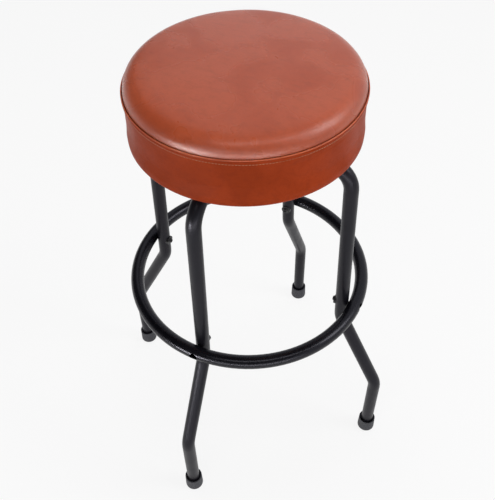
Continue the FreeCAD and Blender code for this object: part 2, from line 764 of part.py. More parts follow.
def cushion():
    """Foam, top panel, welt and side band."""
    skin = dims.cover_thickness
    under = skin + dims.soft_gap
    rim, start, middle, roll, crown = crown_points(as_size(0))
    low_rim, low_start, low_middle, low_roll, low_crown = crown_points(skin)
    keep(
        "seat_top_panel",
        turned(
            "seat_top_panel",
            rim,
            (*start, roll, 1),
            (*middle, crown, 1),
            low_middle,
            (*low_start, low_crown, -1),
            (*low_rim, low_roll, -1),
        ),
    )
    side_low = band_base + dims.band_edge
    drawn_in = dims.band_base_radius - channel_radius
    bow = bow_radius(drawn_in, channel_height - board_top, dims.band_waist)
    lip = bow_radius(dims.channel_depth, dims.channel_drop, dims.channel_lip)
    edge = dims.band_edge
    keep(
        "seat_side_band",
        turned(
            "seat_side_band",
            (flap_radius, band_base),
            (dims.band_base_radius - edge, band_base),
            (dims.band_base_radius, side_low, edge, 1),
            (dims.band_base_radius, board_top),
            (channel_radius, channel_height, bow, -1),
            (seam_radius, band_top, lip, 1),
            (seam_radius - skin, band_top),
            (channel_radius - skin, channel_height, lip, -1),
            (dims.band_base_radius - skin, board_top, bow, 1),
            (dims.band_base_radius - skin, side_low),
            (dims.band_base_radius - edge, flap_top, edge - skin, -1),
            (flap_radius, flap_top),
        ),
    )
    foam_rim, foam_start, foam_middle, foam_roll, foam_crown = crown_points(under)
    foam_base = board_top + dims.seat_gap
    foam = turned(
        "foam_block",
        (0, foam_base),
        (dims.band_base_radius - under, foam_base),
        (channel_radius - under, channel_height, bow, -1),
        (seam_radius - under, band_top, lip, 1),
        foam_rim,
        (*foam_start, foam_roll, 1),
        (*foam_middle, foam_crown, 1),
    )
    dents = []
    for angle in DIAGONALS:
        where = round_about(angle, dims.seat_bolt_reach, board_top)
        radius = dims.tee_flange_radius + dims.soft_gap
        height = dims.tee_flange_thickness + dims.soft_gap
        dents.append(cylinder(f"foam_dent_{angle}", radius, height, **where))
    keep("seat_foam", cut("seat_foam", foam, *dents))
    welt_x = seam_radius - dims.welt_inset
    welt_z = band_top + dims.welt_radius + dims.seat_gap
    keep("seam_welt", torus("seam_welt", welt_x, dims.welt_radius, z=welt_z))


def cover_staples():
    """Staple crowns that hold the turned cover to the board."""
    count = int(dims.staple_count.value)
    low = band_base - dims.seat_gap / 2 - dims.staple_thickness
    reach = flap_radius + dims.staple_inset
    staples = []
    for number in range(count):
        angle = 360 * (number + 0.5) / count
        name = f"staple_{number}"
        staple = bind(
            doc.addObject("Part::Box", name),
            Length=dims.staple_width,
            Width=dims.staple_length,
            Height=dims.staple_thickness,
        )
        swing = math.radians(angle)
        x = reach * math.cos(swing) + dims.staple_length * (math.sin(swing) / 2)
        y = reach * math.sin(swing) - dims.staple_length * (math.cos(swing) / 2)
        place(staple, x=x, y=y, z=low, turn=FreeCAD.Rotation(Z_AXIS, angle))
        staples.append(staple)
    keep("cover_staples", group("cover_staples", staples))


leg_frame("upper_leg_frame", 0, False)
leg_frame("lower_leg_frame", 90, True)
foot_ring()
foot_parts()
ring_fasteners()
frame_fasteners()
swivel()
seat_board()
seat_fasteners()
cushion()
cover_staples()
doc.recompute()

failed = [item.Name for item in doc.Objects if {"Invalid", "Error"} & set(item.State)]
if failed:
    raise RuntimeError(f"failed to build: {failed}")
for label, item in nodes.items():
    if item.Shape.isNull() or not item.Shape.isValid() or not item.Shape.Solids:
        raise RuntimeError(f"{label} has no valid solid")

os.makedirs("parts", exist_ok=True)
for label, item in nodes.items():
    item.Shape.exportStep(f"parts/{label}.step")
    print(f"{label}: {len(item.Shape.Solids)} solids, {item.Shape.Volume:.0f} mm3")
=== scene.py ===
import math

import bmesh
import bpy
from mathutils import Matrix, Vector, noise


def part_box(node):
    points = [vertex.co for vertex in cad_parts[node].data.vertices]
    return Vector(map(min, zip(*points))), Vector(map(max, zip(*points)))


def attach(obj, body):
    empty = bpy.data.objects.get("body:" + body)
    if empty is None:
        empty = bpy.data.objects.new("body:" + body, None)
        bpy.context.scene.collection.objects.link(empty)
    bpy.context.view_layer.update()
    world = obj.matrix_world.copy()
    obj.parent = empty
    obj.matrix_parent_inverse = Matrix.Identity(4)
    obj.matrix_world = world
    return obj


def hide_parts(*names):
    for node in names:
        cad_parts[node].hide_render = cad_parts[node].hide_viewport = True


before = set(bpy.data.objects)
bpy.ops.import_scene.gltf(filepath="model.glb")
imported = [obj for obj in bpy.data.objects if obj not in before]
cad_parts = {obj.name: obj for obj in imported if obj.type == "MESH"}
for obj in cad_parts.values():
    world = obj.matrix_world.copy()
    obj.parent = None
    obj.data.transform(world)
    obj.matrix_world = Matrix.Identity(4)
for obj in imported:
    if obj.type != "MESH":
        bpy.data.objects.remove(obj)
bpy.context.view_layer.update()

# Photograph's camera: pixels, millimetres on the sensor, degrees and metres.
PHOTO_HEIGHT_PX = 500
FOCAL_PX = 696.5
SENSOR_MM = 36
CAMERA_HEADING = 26.61
CAMERA_DISTANCE = 0.8013
CAMERA_HEIGHT = 1.2761
CAMERA_YAW = -0.16
CAMERA_PITCH = 47.445
CAMERA_ROLL = -1.472

# Seat, taken from the frame. The render's top reaches further out than its solid by the overhang.
band_low, band_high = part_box("seat_side_band")
panel_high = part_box("seat_top_panel")[1]
welt_low, welt_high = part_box("seam_welt")
foam_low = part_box("seat_foam")[0]
board_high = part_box("seat_board")[1]
staple_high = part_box("cover_staples")[1]
TOP_OVERHANG = 0.0022
BAND_RADIUS = band_high.x
BAND_BASE = band_low.z
BAND_TOP = band_high.z
PANEL_RADIUS = panel_high.x + TOP_OVERHANG
CROWN_TOP = panel_high.z
WELT_RADIUS = welt_high.x - (welt_high.z - welt_low.z) / 2
WELT_HEIGHT = (welt_low.z + welt_high.z) / 2
BOARD_TOP = board_high.z

# Upholstery, in metres. The waist is how far the band draws in between the board and the
# channel, the sewn groove under the seam. The flap is the hem that turns in under the board.
VINYL = 0.0012
LINING = VINYL + 0.0006
SEAM_RADIUS = BAND_RADIUS - 0.0005
RIM_RISE = 0.0006
CROWN_RISE = 0.006
ROLL_WIDTH = 0.0228
BAND_EDGE = 0.006
BAND_WAIST = 0.0016
BAND_AT_BOARD = 1.3 * VINYL
FLAP_WIDTH = 0.0335
FLAP_CORNER = 0.0005
CHANNEL_DROP = 0.0052
CHANNEL_RADIUS = SEAM_RADIUS - 0.0008
CHANNEL_LIP = 0.0005
EDGE_ROUND = 0.0010
EDGE_INSET = 0.0003
RIDGE_RADIUS = BAND_RADIUS - EDGE_INSET - EDGE_ROUND

# Thread and staples, in metres; the stitch share is how much of the pitch shows thread.
TOPSTITCH_PITCH = 0.0041
SEAM_PITCH = 0.0031
SEAM_STITCH_INSET = 0.0001
SEAM_STITCH_RISE = 0.0022
THREAD = 0.0007
STITCH_SHARE = 0.66
STITCH_DEPTH = 0.8 * THREAD
STITCH_ROUNDING = 0.28 * THREAD
STAPLES = 24
STAPLE_WIDTH = 0.0012
STAPLE_LENGTH = 0.010
STAPLE_THICKNESS = 0.0007
STAPLE_ROUNDING = 0.0002

# Unevenness of the vinyl, in metres. Swells are (number per metre, share) and waves are
# (number round the seat, seed, share). A pair of metres is where an effect starts and is full.
TOP_SWELL = 0.00025
TOP_SWELLS = ((14, 1.0), (33, 0.5))
TOP_SWELL_RISE = (0, 0.012)
GATHER = 0.0002
GATHER_WAVES = ((64, 2.0, 1.0), (150, 5.0, 0.6))
GATHER_RISE = (0.0003, 0.003)
GATHER_FADE = (0.005, 0.018)
BAND_SWELL = 0.0004
BAND_SWELLS = ((22, 1.0),)
STRAIN = 0.00025
STRAIN_WAVES = ((34, 9.0, 1.0),)
STRAIN_RISE = (0.012, 0.05)
PINCH = 0.0002
PINCH_AT_STITCH = 0.00012
PINCH_WIDTH = 0.0013
SEAM_HOLD = (0, 0.002)
PLEAT = 0.0011
PLEAT_WAVES = ((52, 4.0, 1.0), (120, 7.0, 0.4))
PLEAT_RISE = (0.004, 0.026)
RIDGE_WANDER = 0.00018
RIDGE_WANDER_WAVES = ((30, 3.0, 1.0),)
RIDGE_LIFT = 0.00012
RIDGE_LIFT_WAVES = ((70, 6.0, 1.0),)
RIDGE_NIP = 0.0003
RIDGE_NIP_RISE = (-0.0008, 0.001)

# Cloth simulation of the top, in frames and metres.
SETTLE_FRAMES = 20
SETTLE_REACH = 0.0007
HELD_RISE = 0.002

# Meshes, in steps and metres.
SEAT_STEPS = 320
SAME_PLACE = 1e-6
RING_EDGES = (0.006, 0.003)
RING_SKIN = 0.0001


def spread(value, low, high):
    """0 below low, 1 above high, and smooth between them."""
    share = max(0.0, min(1.0, (value - low) / (high - low)))
    return share * share * (3 - 2 * share)


def finished(name, shape, body, slot, *stands_for):
    """Turns a bmesh into a piece that rides on a body; the slot is not used."""
    mesh = bpy.data.meshes.new(name)
    shape.to_mesh(mesh)
    shape.free()
    mesh.polygons.foreach_set("use_smooth", [True] * len(mesh.polygons))
    piece = bpy.data.objects.new(name, mesh)
    bpy.context.scene.collection.objects.link(piece)
    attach(piece, body)
    if stands_for:
        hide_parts(*stands_for)
    return piece


def drawn(*points):
    """A bmesh with one open line through a few (radius, height) points."""
    shape = bmesh.new()
    verts = [shape.verts.new((x, 0, z)) for x, z in points]
    for first, second in zip(verts, verts[1:]):
        shape.edges.new((first, second))
    return shape


def carry_on(shape, *points):
    """Carries the line on through more points."""
    shape.verts.ensure_lookup_table()
    last = shape.verts[-1]
    for x, z in points:
        vert = shape.verts.new((x, 0, z))
        shape.edges.new((last, vert))
        last = vert
    return shape


def go_straight(shape, start, end, steps):
    """Carries the line on from start to end in even steps."""
    step = ((end[0] - start[0]) / steps, (end[1] - start[1]) / steps)
    counts = range(1, steps + 1)
    return carry_on(shape, *[(start[0] + step[0] * n, start[1] + step[1] * n) for n in counts])


def swing(shape, centre, degrees, steps):
    """Carries the line on along an arc round a (radius, height) centre, up and inwards."""
    shape.verts.ensure_lookup_table()
    last = shape.verts[-1]
    bmesh.ops.spin(
        shape,
        geom=[last],
        cent=(centre[0], 0, centre[1]),
        axis=(0, 1, 0),
        angle=math.radians(-degrees),
        steps=steps,
    )
    return shape


def bow_to(shape, start, end, rise, steps):
    """Carries the line on from start to end along an arc that bulges outwards by rise."""
    chord = Vector(end) - Vector(start)
    half = chord.length / 2
    radius = (half**2 + rise**2) / (2 * abs(rise))
    outward = Vector((chord.y, -chord.x)).normalized() * math.copysign(1, rise)
    centre = Vector(start) + chord / 2 - outward * (radius - abs(rise))
    degrees = math.copysign(2 * math.degrees(math.asin(half / radius)), rise)
    return swing(shape, centre, degrees, steps)


def in_order(shape):
    """The same form with its verts and faces sorted by place.

    A spin leaves them in an order that changes from run to run, and cloth depends on the order.
    """
    places = sorted(vert.co.to_tuple() for vert in shape.verts)
    number_at = {place: number for number, place in enumerate(places)}
    faces = []
    for face in shape.faces:
        corners = [number_at[vert.co.to_tuple()] for vert in face.verts]
        first = corners.index(min(corners))
        faces.append(corners[first:] + corners[:first])
    shape.free()
    ordered = bmesh.new()
    verts = [ordered.verts.new(place) for place in places]
    for corners in sorted(faces):
        ordered.faces.new([verts[number] for number in corners])
    ordered.normal_update()
    return ordered


def turned(shape, steps=SEAT_STEPS):
    """The closed form that the line makes when it spins round the seat's axis."""
    bmesh.ops.spin(
        shape,
        geom=shape.verts[:] + shape.edges[:],
        cent=(0, 0, 0),
        axis=(0, 0, 1),
        angle=math.tau,
        steps=steps,
        use_merge=True,
    )
    bmesh.ops.remove_doubles(shape, verts=shape.verts, dist=SAME_PLACE)
    bmesh.ops.recalc_face_normals(shape, faces=shape.faces)
    return in_order(shape)


def bevelled(shape, width, segments):
    """Rounds all edges."""
    bmesh.ops.bevel(
        shape,
        geom=shape.edges[:],
        offset=width,
        segments=segments,
        profile=0.5,
        affect="EDGES",
        material=-1,
    )
    return shape


def round_the_seat(vert):
    """Radius, angle and outward direction of a vert about the seat's axis."""
    outward = Vector((vert.co.x, vert.co.y, 0)).normalized()
    return math.hypot(vert.co.x, vert.co.y), math.atan2(vert.co.y, vert.co.x), outward


def swells(place, kinds):
    """Slow noise in space, made of (number per metre, share) kinds."""
    return sum(share * noise.noise(place * number) for number, share in kinds)


def ripple(angle, number, seed):
    """Uneven waves that close up round the seat, from -1 to 1."""
    reach = number / math.tau
    return noise.noise((math.cos(angle) * reach, math.sin(angle) * reach, seed))


def ripples(angle, waves):
    """Ripples made of (number, seed, share) waves."""
    return sum(share * ripple(angle, number, seed) for number, seed, share in waves)


def cushion():
    """Crowned vinyl top over its foam, rolled down into the seam."""
    rim_z = BAND_TOP + RIM_RISE
    start_x = PANEL_RADIUS - ROLL_WIDTH
    start_z = CROWN_TOP - CROWN_RISE
    crown = (start_x**2 + CROWN_RISE**2) / (2 * CROWN_RISE)
    lean = math.asin(start_x / crown)
    run = PANEL_RADIUS - start_x
    fall = start_z - rim_z
    roll = (run**2 + fall**2) / (2 * (fall * math.cos(lean) - run * math.sin(lean)))
    roll_centre = (start_x - roll * math.sin(lean), start_z - roll * math.cos(lean))
    rim_lean = math.atan2(PANEL_RADIUS - roll_centre[0], rim_z - roll_centre[1])
    side_foot = (BAND_RADIUS - LINING, foam_low.z)
    side_head = (CHANNEL_RADIUS - LINING, BAND_TOP - CHANNEL_DROP)
    shape = drawn((0, foam_low.z), side_foot)
    bow_to(shape, side_foot, side_head, -BAND_WAIST, steps=10)
    carry_on(
        shape,
        (SEAM_RADIUS - LINING, BAND_TOP - VINYL),
        (PANEL_RADIUS - VINYL, rim_z - VINYL),
        (PANEL_RADIUS, rim_z),
    )
    swing(shape, roll_centre, math.degrees(rim_lean - lean), steps=24)
    swing(shape, (0, CROWN_TOP - crown), math.degrees(lean), steps=28)
    shape = turned(shape)
    for vert in shape.verts:
        above = vert.co.z - rim_z
        if above < VINYL / 4:
            continue
        _, angle, _ = round_the_seat(vert)
        lift = TOP_SWELL * swells(vert.co, TOP_SWELLS) * spread(above, *TOP_SWELL_RISE)
        near_seam = spread(above, *GATHER_RISE) * (1 - spread(above, *GATHER_FADE))
        lift += GATHER * near_seam * ripples(angle, GATHER_WAVES)
        vert.co += vert.normal * lift
    piece = finished("cushion", shape, "seat", "top_vinyl", "seat_top_panel", "seat_foam")
    settle(piece, SETTLE_REACH)
    return piece


def settle(piece, reach):
    """Lets the top swell on its foam as cloth that the seam holds; no point moves over reach."""
    stage = bpy.context.scene
    rest = [vert.co.copy() for vert in piece.data.vertices]
    held = [number for number, place in enumerate(rest) if place.z < BAND_TOP + HELD_RISE]
    pins = piece.vertex_groups.new(name="held")
    pins.add(held, 1.0, "REPLACE")
    cloth = piece.modifiers.new("settle", "CLOTH")
    cover = cloth.settings
    cover.quality = 5
    cover.mass = 0.3
    cover.tension_stiffness = 30
    cover.compression_stiffness = 30
    cover.shear_stiffness = 15
    cover.bending_stiffness = 5
    cover.vertex_group_mass = pins.name
    cover.shrink_min = -0.001
    cover.use_pressure = True
    cover.uniform_pressure_force = 500
    cover.effector_weights.gravity = 0
    for moment in range(1, SETTLE_FRAMES + 1):
        stage.frame_set(moment)
    swollen = piece.evaluated_get(bpy.context.evaluated_depsgraph_get()).data
    places = [vert.co.copy() for vert in swollen.vertices]
    for vert, start, end in zip(piece.data.vertices, rest, places):
        shift = end - start
        if shift.length > reach:
            shift *= reach / shift.length
        vert.co = start + shift
    piece.modifiers.remove(cloth)
    piece.vertex_groups.remove(pins)
    stage.frame_set(1)


def side_cover():
    """Vinyl band from the seam down over the board's edge, with its turned and pleated hem."""
    edge_top = BAND_BASE + BAND_EDGE
    edge_start = BAND_RADIUS - BAND_EDGE
    channel = (CHANNEL_RADIUS, BAND_TOP - CHANNEL_DROP)
    flap = BAND_RADIUS - FLAP_WIDTH
    shape = drawn(
        (flap, BAND_BASE + VINYL),
        (flap, BAND_BASE + VINYL / 2),
        (flap + FLAP_CORNER, BAND_BASE),
    )
    go_straight(shape, (flap, BAND_BASE), (edge_start, BAND_BASE), steps=12)
    swing(shape, (edge_start, edge_top), 90, steps=8)
    go_straight(shape, (BAND_RADIUS, edge_top), (BAND_RADIUS, BOARD_TOP), steps=4)
    bow_to(shape, (BAND_RADIUS, BOARD_TOP), channel, -BAND_WAIST, steps=44)
    bow_to(shape, channel, (SEAM_RADIUS, BAND_TOP), CHANNEL_LIP, steps=8)
    carry_on(
        shape,
        (SEAM_RADIUS - VINYL / 2, BAND_TOP + VINYL / 3),
        (SEAM_RADIUS - VINYL, BAND_TOP),
        (CHANNEL_RADIUS - VINYL, BAND_TOP - CHANNEL_DROP),
        (BAND_RADIUS - BAND_AT_BOARD, BOARD_TOP),
        (BAND_RADIUS - VINYL, edge_top),
        (edge_start, BAND_BASE + VINYL),
        (flap, BAND_BASE + VINYL),
    )
    shape = turned(shape)
    stitches_round = round(math.tau * SEAM_RADIUS / TOPSTITCH_PITCH)
    for vert in shape.verts:
        radius, angle, outward = round_the_seat(vert)
        height = vert.co.z
        if radius > CHANNEL_RADIUS - VINYL / 2 and height > edge_top:
            off_line = (height - channel[1]) / PINCH_WIDTH
            pinch = math.exp(-off_line * off_line)
            strain = ripples(angle, STRAIN_WAVES) * spread(BAND_TOP - height, *STRAIN_RISE)
            push = BAND_SWELL * swells(vert.co, BAND_SWELLS) + STRAIN * strain
            push -= pinch * (PINCH + PINCH_AT_STITCH * math.cos(angle * stitches_round))
            push *= spread(BAND_TOP - height, *SEAM_HOLD)
            vert.co += outward * push
        if height < BAND_BASE + VINYL / 4 and radius < edge_start:
            inwards = spread(edge_start - radius, *PLEAT_RISE)
            pleat = sum(
                share * abs(ripple(angle, number, seed)) for number, seed, share in PLEAT_WAVES
            )
            vert.co.z -= PLEAT * inwards * pleat
    return finished("side_cover", shape, "seat", "side_vinyl", "seat_side_band")


def seam_ridge():
    """Turned edge of the band beside the seam, nipped a little at every stitch."""
    shape = bmesh.new()
    bmesh.ops.create_circle(
        shape,
        segments=14,
        radius=EDGE_ROUND,
        matrix=Matrix.Translation((RIDGE_RADIUS, 0, WELT_HEIGHT - EDGE_ROUND / 2))
        @ Matrix.Rotation(math.radians(90), 4, "X"),
    )
    shape = turned(shape, steps=2 * SEAT_STEPS)
    stitches_round = round(math.tau * WELT_RADIUS / SEAM_PITCH)
    for vert in shape.verts:
        radius, angle, outward = round_the_seat(vert)
        nip = 0.5 - 0.5 * math.cos(angle * stitches_round)
        inner = spread(RIDGE_RADIUS - radius, *RIDGE_NIP_RISE)
        wander = RIDGE_WANDER * ripples(angle, RIDGE_WANDER_WAVES)
        vert.co += outward * (wander + RIDGE_NIP * nip * inner)
        vert.co.z += RIDGE_LIFT * ripples(angle, RIDGE_LIFT_WAVES)
    return finished("seam_ridge", shape, "seat", "side_vinyl", "seam_welt")


def ring_of_boxes(count, first_angle, radius, height, size):
    """A bmesh of boxes round the seat, each with its (radial, along, upright) size."""
    shape = bmesh.new()
    for number in range(count):
        place = (
            Matrix.Rotation(math.tau * (number + first_angle) / count, 4, "Z")
            @ Matrix.Translation((radius, 0, height))
            @ Matrix.Diagonal((*size, 1))
        )
        bmesh.ops.create_cube(shape, size=1, matrix=place)
    return shape


def stitches(name, radius, height, pitch, slot):
    """A row of thread stitches round the seat."""
    count = round(math.tau * radius / pitch)
    size = (STITCH_DEPTH, pitch * STITCH_SHARE, THREAD)
    shape = ring_of_boxes(count, 0, radius, height, size)
    bevelled(shape, STITCH_ROUNDING, segments=1)
    return finished(name, shape, "seat", slot)


def hem_staples():
    """Wire staple crowns with rounded shoulders, pressed into the turned hem."""
    radius = (staple_high.x + BAND_RADIUS - FLAP_WIDTH) / 2
    size = (STAPLE_WIDTH, STAPLE_LENGTH, STAPLE_THICKNESS)
    shape = ring_of_boxes(STAPLES, 0.5, radius, BAND_BASE - STAPLE_THICKNESS / 2, size)
    bevelled(shape, STAPLE_ROUNDING, segments=2)
    return finished("hem_staples", shape, "seat", "zinc_steel", "cover_staples")


def round_ring():
    """The foot ring with its holes, its skin made finer and shaded as a true round tube."""
    low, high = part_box("foot_ring")
    tube = (high.z - low.z) / 2

    def off_core(place):
        core = Vector((place.x, place.y, 0)).normalized() * (high.x - tube)
        core.z = low.z + tube
        return place - core

    def on_skin(verts):
        return all(abs(off_core(vert.co).length - tube) < RING_SKIN for vert in verts)

    shape = bmesh.new()
    shape.from_mesh(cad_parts["foot_ring"].data)
    bmesh.ops.remove_doubles(shape, verts=shape.verts, dist=SAME_PLACE)
    for longest in RING_EDGES:
        coarse = [
            edge for edge in shape.edges if edge.calc_length() > longest and on_skin(edge.verts)
        ]
        cut = bmesh.ops.subdivide_edges(shape, edges=coarse, cuts=1)
        for vert in cut["geom_inner"]:
            if isinstance(vert, bmesh.types.BMVert):
                outward = off_core(vert.co)
                vert.co += outward.normalized() * (tube - outward.length)
        bmesh.ops.triangulate(shape, faces=shape.faces)
    ring = finished("round_ring", shape, "base", "ring_paint", "foot_ring")
    normals = []
    for face in ring.data.polygons:
        verts = [ring.data.vertices[number] for number in face.vertices]
        if on_skin(verts):
            normals += [off_core(vert.co).normalized() for vert in verts]
        else:
            normals += [face.normal.copy()] * len(verts)
    ring.data.normals_split_custom_set(normals)
    return ring


# Nodes. Every input is a value or another node's output.


def feed(tree, node, inputs):
    """Sets a node's inputs, given by name or number."""
    for socket, value in inputs.items():
        if isinstance(value, bpy.types.NodeSocket):
            tree.links.new(value, node.inputs[socket])
        else:
            node.inputs[socket].default_value = value
    return node


def added(tree, kind, inputs=None):
    """A new node with its inputs."""
    return feed(tree, tree.nodes.new(kind), inputs or {})


def combined(tree, operation, first, second=0.0):
    """The result of a maths operation on one or two inputs."""
    node = added(tree, "ShaderNodeMath", {0: first, 1: second})
    node.operation = operation
    return node.outputs["Value"]


def mixed(tree, share, first, second):
    """A shader between two, by a share."""
    mix = added(tree, "ShaderNodeMixShader", {"Fac": share, 1: first, 2: second})
    return mix.outputs["Shader"]


def height_in(tree, vector):
    """The Z of a vector."""
    return added(tree, "ShaderNodeSeparateXYZ", {"Vector": vector}).outputs["Z"]


def stretched(tree, vector, scale, turn):
    """Coordinates turned about Z and stretched."""
    inputs = {"Vector": vector, "Rotation": (0, 0, math.radians(turn)), "Scale": scale}
    return added(tree, "ShaderNodeMapping", inputs).outputs["Vector"]


def cloudy(tree, vector, scale, detail, rough, distortion=0):
    """A noise value at a scale per metre."""
    texture = added(
        tree,
        "ShaderNodeTexNoise",
        {
            "Vector": vector,
            "Scale": scale,
            "Detail": detail,
            "Roughness": rough,
            "Distortion": distortion,
        },
    )
    return texture.outputs["Fac"]


def between(tree, value, low, high, to_low=0.0, to_high=1.0):
    """A value remapped smoothly from one range to another."""
    remap = added(
        tree,
        "ShaderNodeMapRange",
        {"Value": value, "From Min": low, "From Max": high, "To Min": to_low, "To Max": to_high},
    )
    remap.interpolation_type = "SMOOTHSTEP"
    return remap.outputs["Result"]


def tinted(tree, amount, first, second):
    """A colour between two, by an amount; each is a colour or another colour's output."""
    mix = tree.nodes.new("ShaderNodeMix")
    mix.data_type = "RGBA"
    colours = [(*colour, 1) if isinstance(colour, tuple) else colour for colour in (first, second)]
    feed(tree, mix, {"Factor": amount, 6: colours[0], 7: colours[1]})
    return mix.outputs[2]


def raised(tree, height, distance, strength, under=None):
    """A bump of a height value, laid over another bump if one is given."""
    bump = added(
        tree, "ShaderNodeBump", {"Height": height, "Distance": distance, "Strength": strength}
    )
    if under is not None:
        feed(tree, bump, {"Normal": under})
    return bump.outputs["Normal"]


# Materials.

GRAIN_SIZE = 0.0011
GRAIN_DEPTH = 0.00008
PORES_PER_GRAIN = 0.6
STREAK_SHARE = 0.2
FLECK_SHARE = 0.18
# Painted shade: the seam shade share and heights darken the top vinyl just above the seam, for the
# shade at the foot of the roll.
SEAM_SHADE_SHARE = 0.6
NO_SEAM_SHADE = (-0.002, -0.001)
TOP_SEAM_SHADE = (BAND_TOP + 0.0004, BAND_TOP + 0.0018)
WARMER_COAT = (1.5, 1.3, 1.25)
DARK_TWIST = 0.6


def new_finish(name):
    """A node material with its tree, its shader and the piece's own coordinates."""
    material = bpy.data.materials.new(name)
    material.use_nodes = True
    tree = material.node_tree
    here = added(tree, "ShaderNodeTexCoord").outputs["Object"]
    return material, tree, tree.nodes["Principled BSDF"], here


def grain(tree, here, size, depth):
    """Fine pebble grain of embossed vinyl."""
    cells = added(
        tree, "ShaderNodeTexVoronoi", {"Vector": here, "Scale": 1 / size, "Randomness": 1.0}
    )
    cells.feature = "DISTANCE_TO_EDGE"
    creases = between(tree, cells.outputs["Distance"], 0.0, 0.22)
    pores = cloudy(tree, here, PORES_PER_GRAIN / size, detail=3, rough=0.6)
    return raised(tree, creases, depth, 0.6, under=raised(tree, pores, depth, 0.4))


def vinyl(name, pale, deep, shadow, rough, gloss, seam_shade_heights=NO_SEAM_SHADE, topcoat=0.0):
    """Mottled leather-look vinyl: broad clouds, brushed streaks and fine dark flecks.

    Painted shade darkens it towards the shadow colour from the upper to the lower of the seam shade
    heights; the streaks and flecks take the same dark colour.
    """
    material, tree, shader, here = new_finish(name)
    clouds = between(
        tree, cloudy(tree, here, 16, detail=3, rough=0.5, distortion=0.4), 0.35, 0.68
    )
    along = stretched(tree, here, scale=(55, 130, 90), turn=30)
    streaks = between(tree, cloudy(tree, along, 1, detail=5, rough=0.66), 0.46, 0.72)
    mottle = between(tree, cloudy(tree, here, 210, detail=6, rough=0.7), 0.4, 0.75)
    body = tinted(tree, clouds, pale, deep)
    brushed = tinted(tree, combined(tree, "MULTIPLY", streaks, STREAK_SHARE), body, shadow)
    flecked = tinted(tree, combined(tree, "MULTIPLY", mottle, FLECK_SHARE), brushed, shadow)
    # Painted shade at the seam: darker from the upper to the lower height.
    seam_shade = between(tree, height_in(tree, here), *seam_shade_heights, SEAM_SHADE_SHARE, 0.0)
    inputs = {
        "Base Color": tinted(tree, seam_shade, flecked, shadow),
        "Roughness": between(tree, clouds, 0, 1, rough - 0.04, rough + 0.05),
        "Specular IOR Level": gloss,
        "Coat Weight": topcoat,
        "Coat Roughness": 0.2,
        "Normal": grain(tree, here, GRAIN_SIZE, GRAIN_DEPTH),
    }
    feed(tree, shader, inputs)
    return material


def powder_coat(name, colour, rough, peel, gloss):
    """Black powder coat with a slight unevenness of tone, and orange peel if peel gives a depth."""
    material, tree, shader, here = new_finish(name)
    drift = between(tree, cloudy(tree, here, 9, detail=3, rough=0.5), 0.35, 0.7)
    warmer = tuple(value * factor for value, factor in zip(colour, WARMER_COAT))
    dull = cloudy(tree, here, 60, detail=4, rough=0.6)
    inputs = {
        "Base Color": tinted(tree, drift, colour, warmer),
        "Roughness": between(tree, dull, 0.3, 0.75, rough - 0.03, rough + 0.06),
        "Specular IOR Level": gloss,
        "Specular Tint": (0.9, 0.88, 1, 1),
    }
    if peel:
        fine = cloudy(tree, here, 1100, detail=3, rough=0.5)
        slow = cloudy(tree, here, 330, detail=2, rough=0.5)
        inputs["Normal"] = raised(tree, fine, peel, 0.5, under=raised(tree, slow, peel * 2, 0.5))
    feed(tree, shader, inputs)
    return material


def moulded_rubber():
    """Dark grey rubber of the foot caps, dusty near the floor."""
    material, tree, shader, here = new_finish("moulded_rubber")
    low_down = between(tree, height_in(tree, here), 0.0, 0.012, 1.0, 0.0)
    dust = between(tree, cloudy(tree, here, 260, detail=5, rough=0.7), 0.4, 0.75)
    scuffed = combined(tree, "MULTIPLY", low_down, dust)
    fine = cloudy(tree, here, 1500, detail=4, rough=0.6)
    inputs = {
        "Base Color": tinted(tree, scuffed, (0.03, 0.03, 0.038), (0.09, 0.087, 0.084)),
        "Roughness": 0.62,
        "Normal": raised(tree, fine, 0.00008, 0.6),
    }
    feed(tree, shader, inputs)
    return material


def plated_steel(name, colour, rough, patch):
    """Bright plating with clouds of duller passivation and fine scratches."""
    material, tree, shader, here = new_finish(name)
    clouds = cloudy(tree, here, 90, detail=4, rough=0.6, distortion=0.5)
    dull = between(tree, clouds, 0.4, 0.7)
    along = stretched(tree, here, scale=(300, 2400, 900), turn=20)
    scratches = cloudy(tree, along, 1, detail=3, rough=0.6)
    inputs = {
        "Base Color": tinted(tree, dull, colour, patch),
        "Metallic": 1.0,
        "Roughness": between(tree, dull, 0, 1, rough, rough + 0.14),
        "Normal": raised(tree, scratches, 0.00003, 0.5),
    }
    feed(tree, shader, inputs)
    return material


def black_oxide():
    """Oiled black oxide of the bolts and saddle washers."""
    material, tree, shader, here = new_finish("black_oxide")
    worn = between(tree, cloudy(tree, here, 420, detail=4, rough=0.65), 0.52, 0.78)
    fine = cloudy(tree, here, 1800, detail=2, rough=0.5)
    inputs = {
        "Base Color": tinted(tree, worn, (0.02, 0.02, 0.022), (0.07, 0.068, 0.07)),
        "Metallic": 0.35,
        "Roughness": 0.34,
        "Normal": raised(tree, fine, 0.00002, 0.5),
    }
    feed(tree, shader, inputs)
    return material


